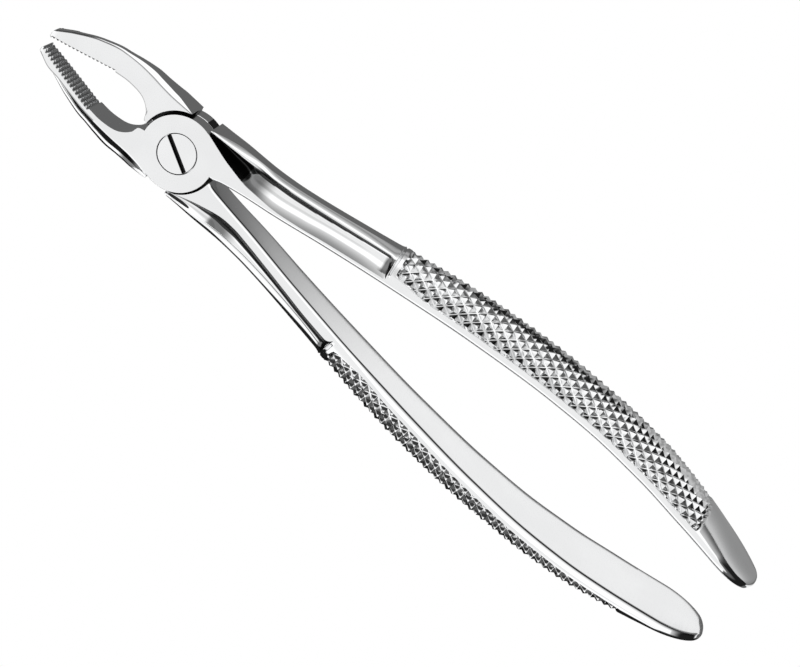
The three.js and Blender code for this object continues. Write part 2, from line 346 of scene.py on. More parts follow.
def closed_loft(name, rings, split=None):
    """A closed skin over rings of equally many points. split(r, k) says how quad (r, k) is cut, or None."""
    count = len(rings[0])
    points = np.concatenate(rings)
    faces = []
    for r in range(len(rings) - 1):
        for k in range(count):
            after = (k + 1) % count
            a, b = r * count + k, r * count + after
            c, d = (r + 1) * count + after, (r + 1) * count + k
            way = split(r, k) if split else None
            if way is None:
                faces.append((a, b, c, d))
            elif way:
                faces.extend([(a, b, c), (a, c, d)])
            else:
                faces.extend([(a, b, d), (b, c, d)])
    faces.append(tuple(range(count))[::-1])
    faces.append(tuple(range((len(rings) - 1) * count, len(rings) * count)))
    return new_object(name, points, faces)


def lathe(name, profile, segments=160):
    """A closed solid turned round Z from (radius, height) points that start and end on the axis."""
    inside = profile[1:-1]
    turns = np.arange(segments) / segments * 2 * math.pi
    points = [(0, 0, profile[0][1])]
    for radius, height in inside:
        points.extend((radius * math.cos(t), radius * math.sin(t), height) for t in turns)
    points.append((0, 0, profile[-1][1]))
    faces = []
    for k in range(segments):
        after = (k + 1) % segments
        faces.append((0, 1 + after, 1 + k))
        for r in range(len(inside) - 1):
            a, b = 1 + r * segments + k, 1 + r * segments + after
            faces.append((a, b, b + segments, a + segments))
        top = 1 + (len(inside) - 1) * segments
        faces.append((top + k, top + after, len(points) - 1))
    return new_object(name, points, faces)


def arc(centre, radius, start, stop, steps):
    """(radius, height) points of a circular arc, angles in degrees."""
    angles = np.radians(np.linspace(start, stop, steps + 1))
    return [(centre[0] + radius * math.cos(a), centre[1] + radius * math.sin(a)) for a in angles]


def combine(target, other, operation):
    """target becomes the boolean of itself and other, which is removed."""
    modifier = target.modifiers.new("Boolean", "BOOLEAN")
    modifier.operation = operation
    modifier.solver = "MANIFOLD"
    modifier.object = other
    bpy.context.view_layer.update()
    graph = bpy.context.evaluated_depsgraph_get()
    made = bpy.data.meshes.new_from_object(target.evaluated_get(graph))
    target.modifiers.clear()
    old = target.data
    target.data = made
    bpy.data.meshes.remove(old)
    bpy.data.objects.remove(other)
    return target


# -------- handle

def grip_width_at(d):
    """Half width of the handle at d, with its round end."""
    end_share = np.clip((d - ROUND_END_START) / (HANDLE_END - ROUND_END_START), 0, 1)
    return half_width_at(d) * np.sqrt(np.maximum(1 - end_share**2, 1e-6))


def grip_arc(inner, bevel, outer, width):
    """The grip's outer half section from the bevel to the back, as a fine polyline with its arc lengths."""
    edge = inner + bevel
    angle = np.linspace(0, math.pi / 2, 241)
    path = np.column_stack([edge + (outer - edge) * np.sin(angle), width * np.cos(angle)])
    lengths = np.concatenate([[0], np.cumsum(np.hypot(*np.diff(path, axis=0).T))])
    return path, lengths


def grip_columns(total):
    """Arc length from the back centre of each outer column: even steps, squeezed near the strip."""
    step = KNURL_WIDTH / KNURL_STEPS
    even = np.arange(OUTER_COLUMNS + 1) * step
    if even[-1] <= total:
        return even * total / even[-1]
    limit = total - GRIP_SQUEEZE
    beyond = np.clip((even - limit) / (even[-1] - limit), 0, 1)
    return np.where(even <= limit, even, limit + GRIP_SQUEEZE * beyond)


def handle_limits(d):
    """Inner and outer side of the section at d, and the share of it that the fillet of the end keeps."""
    fillet_share = np.clip((d - HANDLE_END + END_FILLET) / END_FILLET, 0, 1)
    keep = math.sqrt(max(1 - fillet_share**2, 1e-6))
    centre = middle_at(d)
    inner = centre + (inner_at(d) - centre) * keep
    outer = centre + (outer_at(d) - centre) * keep
    return inner, outer, keep


def inner_side(inner, width, bevel, crown, rounded):
    """The inner face from its centre, and the bevel or rounding beside it, as (out, half width) points."""
    rise = bevel if rounded else bevel * BEVEL_RISE
    radius = 0
    if not rounded:
        radius = min(BEVEL_EDGE, bevel * BEVEL_EDGE_SHARE) + BEVEL_EDGE_GROWTH * smooth(bevel, 0.5, 1)
    low = np.array([inner, width - rise])
    high = np.array([inner + bevel, width])
    across = np.arange(INNER_COLUMNS) / INNER_COLUMNS
    face = np.column_stack([inner - crown * (1 - across**2), across * (width - rise - radius)])
    start = np.array([[inner, width - rise - radius]])
    if rounded:
        pull = ROUNDING_PULL * bevel
        end = high - [ROUNDING_END, 0]
        edge = bezier(low, low + [0, pull], high - [pull, 0], end, EDGE_COLUMNS + BEVEL_COLUMNS)
        return np.concatenate([face, start, edge])
    slope = (high - low) / np.linalg.norm(high - low)
    edge = bezier(start[0], low, low, low + slope * radius, EDGE_COLUMNS)
    bevelled = line(low + slope * radius, high - slope * BEVEL_END_SHARE * bevel, BEVEL_COLUMNS)
    return np.concatenate([face, start, edge, bevelled])


def neck_side(d, strip_start, outer, strip_at, dip, rib_rise):
    """The neck from the start of the strip over the flute and the rib to the back centre."""
    width = strip_start[1]
    strip, rib, rib_half = strip_at(d), rib_edge_at(d), rib_half_at(d)
    side, side_half = outer - rib_inset_at(d), rib_side_at(d)
    flat = line(strip_start + [STRIP_START, 0], (strip, width), STRIP_COLUMNS - 1)
    t = np.arange(1, FLUTE_COLUMNS + 1) / FLUTE_COLUMNS
    drop = (width - rib_half) * (1 - t) ** steepness_at(d) - dip * np.sin(math.pi * t)
    flute = np.column_stack([strip + (rib - strip) * t, rib_half + drop])
    rise_share = START_RIB_RISE + (rib_rise - START_RIB_RISE) * smooth(d, *RIB_RISE_CHANGES)
    lift = rise_share * min(1, width - rib_half)
    foot = np.array([rib, rib_half])
    crest = foot + np.array([CREST_OUT, CREST_UP]) * lift
    wall_start, wall_end = np.array(WALL_START_PULL) * lift, np.array(WALL_END_PULL) * lift
    wall = bezier(foot, foot + wall_start, crest - wall_end, crest, CREST_COLUMNS)
    across = side - crest[0]
    leaving = crest + np.array([TOP_START_PULL[0], -TOP_START_PULL[1]]) * across
    arriving = (side - TOP_END_PULL[0] * across, side_half + TOP_END_PULL[1] * (crest[1] - side_half))
    top = bezier(crest, leaving, arriving, (side, side_half), RIB_COLUMNS)
    back = line((side, side_half), (side, 0), SIDE_COLUMNS)
    return np.concatenate([[strip_start], flat, flute, wall, top, back])


def handle_half(d, bevel_at, strip_at, rounded, rib_rise):
    """Half of the handle's section at d: (out, half width) points from the inner centre to the back centre,
    and the arc length of each outer point from the back centre."""
    width = grip_width_at(d)
    inner, outer, keep = handle_limits(d)
    bevel = min(bevel_at(d), width * BEVEL_WIDTH_LIMIT, (outer - inner) * BEVEL_DEPTH_LIMIT)
    crown = INNER_CROWN * smooth(d, 20, 60) * keep
    lead = inner_side(inner, width, bevel, crown, rounded)

    path, lengths = grip_arc(inner, bevel, outer, width)
    around = grip_columns(lengths[-1])[::-1]
    from_strip = lengths[-1] - around
    grip = np.column_stack([np.interp(from_strip, lengths, path[:, k]) for k in range(2)])

    neck_share = 1 - quarter_rise(d)
    if neck_share <= 0:
        return np.concatenate([lead, grip]), around
    dip = flute_dip_at(d) if rounded else FRONT_FLUTE_DIP * fading(d, *FRONT_DIP_ENDS)
    neck = neck_side(d, np.array([inner + bevel, width]), outer, strip_at, dip, rib_rise)
    return np.concatenate([lead, neck * neck_share + grip * (1 - neck_share)]), around


def quarter_rise(d):
    """How far the flute's end wall has risen at d, as a concave quarter circle from 0 to 1."""
    t = min(max((d - FLUTE_END_START) / (FLUTE_END - FLUTE_END_START), 0), 1)
    return 1 - math.sqrt(1 - t * t)


def knurl_rows(along, around):
    """Which of the two crossing sets of grooves a place is at: whole numbers are the grooves' middles."""
    return along / KNURL_LENGTH + around / KNURL_WIDTH, along / KNURL_LENGTH - around / KNURL_WIDTH


def knurl_height(along, around):
    """Depth below the smooth grip of a diamond knurl with narrow flat-bottomed grooves."""
    one, two = knurl_rows(along, around)
    rise = np.minimum(2 * np.abs(one - np.round(one)), 2 * np.abs(two - np.round(two)))
    rise = np.maximum(rise, KNURL_FLAT)
    wobble = KNURL_WOBBLE * np.sin(2.3 * along + 1.1 * around) * np.sin(1.7 * along - 3.1 * around + 0.6)
    return KNURL_DEPTH * (1 - (rise - KNURL_FLAT) / (1 - KNURL_FLAT)) + wobble


def knurl_painted_shade(along, around):
    """Painted shade at the foot of each pyramid's four sides, with one side painted darker than the others.
    """
    one, two = knurl_rows(along, around)
    near_one = np.abs(one - np.round(one))
    near_two = np.abs(two - np.round(two))
    dark_side = (near_two < near_one) & (two - np.floor(two) < 0.5)
    down = 1 - 2 * np.minimum(near_one, near_two)
    foot = smooth(down, *KNURL_FOOT_STARTS) * fading(down, *KNURL_FOOT_ENDS)
    return foot * np.where(dark_side, KNURL_DARK_SIDE, KNURL_OTHER_SIDES)


def knurl_strength(d, room):
    """How fully the knurl is cut at d, room away from the grip's smooth edge."""
    margin = KNURL_MARGIN + KNURL_START_MARGIN * fading(d, KNURL_START, KNURL_START + KNURL_START_LENGTH)
    across = smooth(room, margin, margin + KNURL_FADE)
    begun = smooth(d, KNURL_START, KNURL_START + KNURL_EASE)
    return across * begun * fading(d, KNURL_STOP - KNURL_EASE, KNURL_STOP)


def middle_at(d):
    """How far the middle of the handle's section is from the centre line."""
    return (inner_at(d) + outer_at(d)) / 2


def section_normals(points):
    """Outward normals of a closed ring of (out, height) points."""
    before, after = np.roll(points, 1, axis=0), np.roll(points, -1, axis=0)
    tangent = after - before
    tangent /= np.maximum(np.linalg.norm(tangent, axis=1), 1e-9)[:, None]
    return np.column_stack([-tangent[:, 1], tangent[:, 0]])


def handle_stations():
    """Distances of the handle's sections, dense where the collar is and in step with the knurl."""
    joint, neck = np.linspace(*JOINT_SECTIONS), np.linspace(*NECK_SECTIONS)
    wall_share = np.sin(np.linspace(0, math.pi / 2, FLUTE_END_SECTIONS)[1:])
    wall = FLUTE_END_START + (FLUTE_END - FLUTE_END_START) * wall_share
    groove = GROOVE_AT + GROOVE_HALF * np.linspace(-GROOVE_SPREAD, GROOVE_SPREAD, GROOVE_SECTIONS)
    axis_d = np.linspace(GROOVE_AT, KNURL_STOP + 1, 3000)
    length = np.concatenate([[0], np.cumsum(np.hypot(np.diff(axis_d), np.diff(middle_at(axis_d))))])
    step = KNURL_LENGTH / KNURL_STEPS
    knurled = np.interp(np.arange(3, int(length[-1] / step)) * step, length, axis_d)
    end_share = np.sin(np.linspace(0, math.pi / 2, ROUND_END_SECTIONS)[1:])
    end = knurled[-1] + (HANDLE_END - END_FLAT - knurled[-1]) * end_share
    stations = np.concatenate([joint, neck, wall, groove, knurled, end])
    lengths = np.interp(stations, axis_d, length, left=-1, right=length[-1] + 1)
    return stations, lengths


def handle_object():
    """The handle with its knurl, and the painted shade at the foot of the knurl's pyramids in a point
    attribute.
    """
    stations, along = handle_stations()
    rings, turns, shades = [], [], []
    for d, s in zip(stations, along):
        half, around = handle_half(d, front_bevel_at, front_strip_at, False, FRONT_RIB_RISE)
        behind, back_around = handle_half(d, back_rounding_at, back_strip_at, True, BACK_RIB_RISE)
        ring = np.concatenate([half, behind[-2:0:-1] * [1, -1]])
        lead = len(half) - len(around)
        turn = np.full(len(ring), SMOOTH_FACE)
        turn[lead:len(half)] = around
        turn[len(half):len(half) + len(around) - 1] = -back_around[-2::-1]
        total = np.full(len(ring), around[0])
        total[len(half):] = back_around[0]
        room = total - np.abs(turn)
        outside = np.abs(turn) < SMOOTH_FACE
        strength = knurl_strength(d, room)
        near_groove = np.clip(1 - abs(d - GROOVE_AT) / GROOVE_HALF, 0, 1)
        groove = GROOVE_DEPTH * near_groove**GROOVE_ROUNDNESS * smooth(room, *GROOVE_FADE)
        cut = np.where(outside, strength * knurl_height(s, turn) + groove, 0)
        shades.append(np.where(outside, strength * knurl_painted_shade(s, turn), 0))
        ring = ring - section_normals(ring) * cut[:, None]
        slope = (middle_at(d + 0.5) - middle_at(d - 0.5)) * smooth(d, 10, 30)
        centre = middle_at(d)
        offset = ring[:, 0] - centre
        cosine = 1 / math.hypot(1, slope)
        x = -d + slope * cosine * offset
        y = centre + cosine * offset
        rings.append(np.column_stack([x, y, MIDDLE + ring[:, 1]]))
        turns.append(turn)

    def split(r, k):
        """Cuts the knurl's quads along their pyramids' edges."""
        d = stations[r]
        if not KNURL_START - KNURL_OVERRUN <= d <= KNURL_STOP + KNURL_OVERRUN or r + 1 >= len(rings):
            return None
        t = (turns[r][k] + turns[r][(k + 1) % len(turns[r])]) / 2
        if abs(t) > SMOOTH_FACE / 4:
            return None
        one, two = knurl_rows((along[r] + along[r + 1]) / 2, t)
        # arc length falls with k, so the diagonal a-c keeps "one" and b-d keeps "two"
        return bool(abs(one - round(one)) < abs(two - round(two)))

    handle = closed_loft("handle", rings, split)
    shade = handle.data.attributes.new("knurl_painted_shade", "FLOAT", "POINT")
    shade.data.foreach_set("value", np.concatenate(shades).astype(np.float32))
    return handle


# -------- beak

def beak_pairs():
    """(inner point, outer point, tooth phase) of each beak section, from the tip to the joint."""
    pairs = []
    tip_x, tip_y = BEAK_TIP
    first_x, first_y = TEETH_FROM
    last_x, last_y = TEETH_TO
    for k in range(BEAK_TIP_SECTIONS):
        angle = k / BEAK_TIP_SECTIONS * math.pi / 2
        x = tip_x - BEAK_TIP_FLAT - (tip_x - first_x - BEAK_TIP_FLAT) * (1 - math.cos(angle))
        share = (tip_x - x) / (tip_x - first_x)
        spread = math.sqrt(share * (2 - share))
        inner = tip_y + (first_y - tip_y) * spread
        outer = tip_y + (beak_outer_at(first_x) - tip_y) * spread
        pairs.append(((x, inner), (x, outer), None))
    steps = int(math.dist(TEETH_FROM, TEETH_TO) / TOOTH_PITCH) * TOOTH_SECTIONS
    for k in range(steps + 1):
        x = first_x + (last_x - first_x) * k / steps
        inner = first_y + (last_y - first_y) * k / steps
        pairs.append(((x, inner), (x, beak_outer_at(x)), k / TOOTH_SECTIONS))
    scoop_x, scoop_y = np.array(BEAK_SCOOP).T
    chord = np.concatenate([[0], np.cumsum(np.hypot(np.diff(scoop_x), np.diff(scoop_y)))])
    at_x, at_y = spline(chord, scoop_x), spline(chord, scoop_y)
    for k in range(1, BEAK_SCOOP_SECTIONS + 1):
        t = k / BEAK_SCOOP_SECTIONS
        outer_x = last_x + (BEAK_ROOT - last_x) * t
        inner = (at_x(chord[-1] * t), at_y(chord[-1] * t))
        pairs.append((inner, (outer_x, beak_outer_at(outer_x)), None))
    return pairs


def spline(x, y):
    """A natural-looking cubic through the points, with Catmull-Rom tangents."""
    tangents = np.gradient(y, x)

    def curve(v):
        i = min(max(int(np.searchsorted(x, v)) - 1, 0), len(x) - 2)
        span = x[i + 1] - x[i]
        t = (v - x[i]) / span
        h = (2 * t**3 - 3 * t**2 + 1) * y[i] + (t**3 - 2 * t**2 + t) * span * tangents[i]
        return h + (3 * t**2 - 2 * t**3) * y[i + 1] + (t**3 - t**2) * span * tangents[i + 1]

    return curve


def tooth_cut(z, width, phase):
    """How deep the serration is cut at height z: grooves across the beak, crossed by lengthwise ones."""
    depth = TOOTH_DEPTH * min(1, width / TOOTH_FULL_DEPTH_HALF)
    cross = np.minimum(1, TOOTH_CROSS_SLOPE * abs(phase - round(phase)))
    lines = (z / width + 1) * TOOTH_LINES / 2
    length = np.minimum(1, TOOTH_LENGTH_SLOPE * np.abs(lines - np.round(lines)))
    return depth * (1 - np.minimum(cross, length))


def beak_section(inner, outer, phase):
    """(along the section, height) points round a beak section, from the middle of the inner face upwards."""
    x = min(outer[0], TEETH_FROM[0])
    width = beak_half_at((inner[0] + outer[0]) / 2)
    base = inner[1] if outer[0] <= TEETH_FROM[0] else TEETH_FROM[1]
    share = math.dist(inner, outer) / (beak_outer_at(x) - base)
    front = (beak_front_at(x) - base) * share
    behind = (beak_back_at(x) - base) * share
    slope = beak_slope_at(x) * min(share, 1)
    radius = min(BEAK_EDGE_RADIUS if phase is None else TOOTH_EDGE_RADIUS, front / 4, behind / 4)
    eased = np.array([front, width]) + CORNER_EASE
    drop = min(CORNER_DROP, width * CORNER_DROP_SHARE)
    corner = (front + CORNER_OUT * share, width - drop)
    side, top = corner[0] + slope, corner[1] - slope * SLOPE_FALL
    low = beak_low_at(x) * (width / MIDDLE if x > BEAK_NARROWS_AT else 1)
    low = min(low, top - SIDE_LEAST)
    ledge = np.array([side - LEDGE_IN * (side - behind), low - LEDGE_DOWN * (low + width)])
    ledge_in = ledge - LEDGE_WIDTH * min(share, 1)
    chamfer = ledge_in - LEDGE_CURVE
    back_corner = np.array([behind, -width]) + BACK_CORNER
    face_up = np.linspace(0, width - radius, BEAK_FACE_COLUMNS + 1)
    face_down = np.linspace(radius - width, 0, BEAK_FACE_COLUMNS + 1)[1:-1]
    ring = np.concatenate([
        np.column_stack([np.zeros(len(face_up)), face_up]),
        bezier((0, width - radius), (0, width), (0, width), (radius, width), 4),
        line((radius, width), (radius + MARK_LINE, width), 1),
        line((radius + MARK_LINE, width), (front - radius, width), 7),
        bezier((front - radius, width), (front, width), (front, width), eased, 4),
        line(eased, corner, 2),
        line(corner, (side - 0.05, top + 0.05), 4),
        bezier((side - 0.05, top + 0.05), (side, top), (side, top), (side, top - 0.07), 3),
        line((side, top - 0.07), (side, low), 6),
        bezier((side, low), (side, low - 0.25), ledge + [0.2, -0.1], ledge, 6),
        line(ledge, ledge_in, 3),
        bezier(ledge_in, *chamfer, 3),
        line(chamfer[-1], back_corner, 8),
        line(back_corner, (behind - radius, -width), 2),
        line((behind - radius, -width), (behind - radius - MARK_LINE, -width), 1),
        line((behind - radius - MARK_LINE, -width), (radius, -width), 7),
        bezier((radius, -width), (0, -width), (0, -width), (0, -width + radius), 4),
        np.column_stack([np.zeros(len(face_down)), face_down]),
    ])
    if phase is not None:
        ring[:, 0] = np.maximum(ring[:, 0], tooth_cut(ring[:, 1], width, phase))
    return ring


beak_sections = beak_pairs()
beak_inner_line = np.array([inner for inner, _, _ in beak_sections])


def beak_object():
    """The beak, serrated along the straight part of its inner face."""
    rings = []
    for inner, outer, phase in beak_sections:
        ring = beak_section(inner, outer, phase)
        across = (np.array(outer) - np.array(inner)) / math.dist(inner, outer)
        x = inner[0] + ring[:, 0] * across[0]
        y = inner[1] + ring[:, 0] * across[1]
        rings.append(np.column_stack([x, -y, MIDDLE + ring[:, 1]]))
    return closed_loft("beak", rings)


# -------- levers

def disc_object():
    """The half-disc of the lap joint, up to its lap face."""
    rim = arc((DISC_RADIUS - EDGE_RADIUS, EDGE_RADIUS), EDGE_RADIUS, -90, 0, 6)
    lap_edge = [(DISC_RADIUS, LAP_HEIGHT - LAP_CHAMFER), (DISC_RADIUS - LAP_CHAMFER, LAP_HEIGHT)]
    return lathe("disc", [(0, 0), *rim, *lap_edge, (0, LAP_HEIGHT)], 240)


def recess_object():
    """What is cut away above the lap face to make room for the other lever's disc."""
    radius = RECESS_RADIUS + RECESS_EASE
    lip = arc((radius + EDGE_RADIUS, THICKNESS - EDGE_RADIUS), EDGE_RADIUS, 180, 90, 6)
    top = THICKNESS + CUTTER_EXTRA
    profile = [(0, LAP_HEIGHT), (radius, LAP_HEIGHT), *lip, (radius + EDGE_RADIUS, top), (0, top)]
    cutter = lathe("recess", profile, 240)
    cutter.data.transform(Matrix.Translation((0, -RECESS_SHIFT, 0)))
    return cutter


def drill(lever, radius, high, low=-1, lip=HOLE_LIP):
    """Cuts a bore between two heights, flared by lip where it meets the face at height 0."""
    flare = [(radius, low)]
    if lip:
        flare = [(radius + lip, low), (radius + lip, 0), (radius + lip * 0.3, lip * 0.7), (radius, lip * 1.6)]
    cutter = outward(lathe("hole", [(0, low), *flare, (radius, high), (0, high)]))
    combine(lever, cutter, "DIFFERENCE")


def outward(target):
    """Turns all faces to point out of the solid."""
    work = bmesh.new()
    work.from_mesh(target.data)
    bmesh.ops.recalc_face_normals(work, faces=work.faces)
    work.to_mesh(target.data)
    work.free()
    return target


def forging(name):
    """The lever before its holes, with its disc in the back half of the joint."""
    lever = outward(handle_object())
    lever.name = name
    combine(lever, outward(beak_object()), "UNION")
    combine(lever, outward(recess_object()), "DIFFERENCE")
    combine(lever, outward(disc_object()), "UNION")
    return lever


def points_of(piece):
    """The x, y and z of all points."""
    flat = np.empty(len(piece.data.vertices) * 3)
    piece.data.vertices.foreach_get("co", flat)
    return flat.reshape(-1, 3).T


def store_painted_shade(piece, amount):
    """Stores how much painted shade each point gets; the steel is also duller where there is more."""
    attribute = piece.data.attributes.new("painted_shade_and_dullness", "FLOAT", "POINT")
    attribute.data.foreach_set("value", np.clip(amount, 0, 1).astype(np.float32))


def flute_marks(d, y, height):
    """Painted shade in the flute: the trough beside the joint, the shadow after it, the band beside the front
    strip, the wall of the back rib and the flute's end."""
    strip = np.where(height > 0, front_strip_at(d), back_strip_at(d))
    rib = rib_edge_at(d)
    before_end = fading(d, *FLUTE_MARKS_END)
    inside = (y > strip + STRIP_MARGIN) & (y < rib + RIB_MARGIN)
    trough = smooth(d, *TROUGH_STARTS) * fading(d, *TROUGH_ENDS)
    trough *= inside & (height < 0) & (np.abs(height) < MIDDLE - TROUGH_INSET)
    shadow = SHADOW_MARK * smooth(d, *SHADOW_STARTS) * fading(d, *SHADOW_ENDS) * inside
    breadth = BAND_WIDTH + BAND_GROWTH * smooth(d, *BAND_WIDENS)
    band = BAND_MARK * fading(y - strip, breadth, breadth + BAND_FADE) * smooth(d, *BAND_STARTS) * before_end
    band *= (height > 0) & (y > strip + STRIP_MARGIN) & (y < rib)
    crest_from = rib - CREST_INSIDE + CREST_NARROWING * smooth(d, *CREST_NARROWS)
    crest = CREST_MARK * smooth(d, *CREST_STARTS) * before_end
    crest *= within(-height, 0, rib_half_at(d) + CREST_REACH) & within(y, crest_from, rib + CREST_OUTSIDE)
    hook = HOOK_MARK * smooth(d, *HOOK_STARTS) * fading(d, *HOOK_ENDS)
    hook *= within(y, strip + HOOK_FROM_STRIP, rib + HOOK_PAST_RIB)
    hook *= np.abs(height) < half_width_at(d) - HOOK_INSET
    return trough + shadow + band + crest + hook


def joint_marks(x, y, height):
    """Painted shade in the recess round the other lever's disc, and on this one's rim where the recess faces
    it.
    """
    radius = np.hypot(x, y)
    angle = np.degrees(np.arctan2(y, x))
    recess = within(radius, *RECESS_MARK_RADII) & within(height, *RECESS_MARK_HEIGHTS)
    recess &= np.hypot(x, y + RECESS_SHIFT) < RECESS_WALL
    rim = (np.abs(radius - DISC_RADIUS) < RIM_THICKNESS) & within(height, LAP_CHAMFER - MIDDLE, 0)
    rim &= within(angle, *RIM_ANGLES[0]) | within(angle, *RIM_ANGLES[1])
    return recess.astype(float) + rim


def beak_marks(x, out, height):
    """Painted shade in the serration's grooves and on the chamfer at the back of the beak's root, and thin
    painted dark lines along its edges.
    """
    half = beak_half_at(x)
    share = (x - TEETH_TO[0]) / (TEETH_FROM[0] - TEETH_TO[0])
    depth = out - (TEETH_TO[1] + (TEETH_FROM[1] - TEETH_TO[1]) * share)
    teeth = TOOTH_MARK * smooth(depth, TOOTH_MARK_FROM, TOOTH_DEPTH * TOOTH_MARK_SHARE)
    teeth *= within(share, 0, 1) & (depth < TOOTH_DEPTH + TOOTH_MARK_FROM)
    teeth *= np.abs(height) < half - TOOTH_MARK_INSET
    chamfer = CHAMFER_MARK * fading(x, *CHAMFER_ENDS) * (x > CHAMFER_START)
    chamfer *= height < beak_low_at(x) - CHAMFER_BELOW_SIDE
    chamfer *= out > beak_back_at(x) + CHAMFER_PAST_BACK
    near = x > beak_inner_line[:, 0].min()
    gaps = [np.hypot(x[near] - px, out[near] - py) for px, py in beak_inner_line]
    inner_line = np.zeros(len(x), bool)
    inner_line[near] = np.min(gaps, axis=0) < BEAK_LINE_WIDTH
    below, above = BEAK_LINE_HEIGHTS
    inner_line &= within(height, half - below, half - above) & (x > BEAK_LINE_START)
    back_line = (height < BACK_LINE_HEIGHT - half) & (out > beak_back_at(x) - BEAK_LINE_WIDTH)
    back_line &= x > BACK_LINE_START
    tip_line = x > BEAK_TIP[0] - MARK_LINE
    return teeth + chamfer + BEAK_LINE_MARK * (inner_line | back_line | tip_line)


def grip_marks(piece, d, y, height):
    """A painted dark line along the front bevel's lower edge, and the painted shade at the foot of each of
    the knurl's pyramids.
    """
    width = grip_width_at(d)
    bevel = np.minimum(front_bevel_at(d), width * BEVEL_WIDTH_LIMIT)
    bevel = np.minimum(bevel, (outer_at(d) - inner_at(d)) * BEVEL_DEPTH_LIMIT)
    gap = np.hypot(y - inner_at(d), height - (width - bevel * BEVEL_RISE))
    edge = fading(gap, BEVEL_MARK_INSIDE, BEVEL_MARK_OUTSIDE + BEVEL_MARK_GROWTH * bevel)
    edge *= d > BEVEL_MARK_START
    knurl_foot_shade = np.zeros(len(d), np.float32)
    shade = piece.data.attributes["knurl_painted_shade"]
    shade.data.foreach_get("value", knurl_foot_shade)
    piece.data.attributes.remove(shade)
    return BEVEL_MARK * edge + knurl_foot_shade


def paint_lever_shade(piece):
    """Marks the painted shade of a lever, with duller steel where it is, by the places of its points."""
    x, y, z = points_of(piece)
    height = z - MIDDLE
    amount = flute_marks(-x, y, height) + joint_marks(x, y, height) + beak_marks(x, -y, height)
    store_painted_shade(piece, amount + grip_marks(piece, -x, y, height))


def finish_mesh(piece, turned=False, sharp_degrees=SHARP_LEVER):
    """Turns the lever over if asked, scales it to metres and sets crisp edges and steady normals."""
    if turned:
        over = Matrix.Translation((0, 0, THICKNESS)) @ Matrix.Rotation(math.pi, 4, "X")
        piece.data.transform(over)
    piece.data.transform(Matrix.Scale(MM, 4))
    piece.data.shade_smooth()
    piece.data.set_sharp_from_angle(angle=math.radians(sharp_degrees))
    weighted = piece.modifiers.new("Normals", "WEIGHTED_NORMAL")
    weighted.mode = "FACE_AREA"
    weighted.weight = 50
    weighted.keep_sharp = True
    return piece


rear = forging("rear_lever_forging")
front = rear.copy()
front.data = rear.data.copy()
front.name = "front_lever_forging"
scene.collection.objects.link(front)

drill(rear, THREAD_BORE, THREAD_BORE_END)
drill(rear, SHANK_BORE, MIDDLE + 1, low=SHANK_BORE_START, lip=0)
drill(front, SHANK_BORE, MIDDLE + 1, lip=0)
drill(front, SEAT_RADIUS, SEAT_DEPTH)


def screw_object():
    """The pivot screw with its slotted head flush with the front of the joint."""
    head_bottom = THICKNESS - HEAD_HEIGHT
    rim = arc((HEAD_RADIUS - HEAD_CHAMFER, THICKNESS - HEAD_CHAMFER), HEAD_CHAMFER, 0, 90, 5)
    profile = [
        (0, 0), (THREAD_RADIUS - THREAD_CHAMFER, 0), (THREAD_RADIUS, THREAD_CHAMFER),
        (THREAD_RADIUS, THREAD_END), (SHANK_RADIUS, SHANK_START), (SHANK_RADIUS, head_bottom),
        (HEAD_RADIUS, head_bottom),
        *rim, (HEAD_RADIUS * 0.5, THICKNESS), (0, THICKNESS),
    ]
    turned = outward(lathe("pivot_screw_turned", profile, 200))
    half, flared = SLOT_WIDTH / 2, SLOT_WIDTH / 2 + SLOT_FLARE
    right = [
        (half - SLOT_CORNER, -SLOT_DEPTH), (half, SLOT_CORNER - SLOT_DEPTH), (half, -SLOT_FLARE), (flared, 0),
        (flared, 1),
    ]
    section = [(-right[0][0], right[0][1]), *right, *[(-y, z) for y, z in right[:0:-1]]]
    reach = HEAD_RADIUS + 1
    rings = [np.array([(x, y, THICKNESS + z) for y, z in section]) for x in (-reach, reach)]
    cutter = outward(closed_loft("slot", rings))
    cutter.data.transform(Matrix.Rotation(SLOT_ANGLE, 4, "Z"))
    return combine(turned, cutter, "DIFFERENCE")


screw = screw_object()
# Painted shade, with duller steel, on both levers and down the screw's slot
paint_lever_shade(rear)
paint_lever_shade(front)
store_painted_shade(screw, smooth(THICKNESS - points_of(screw)[2], *SLOT_MARK_DEPTHS))
finish_mesh(rear)
finish_mesh(front, turned=True)
finish_mesh(screw, sharp_degrees=SHARP_SCREW)


# -------- materials

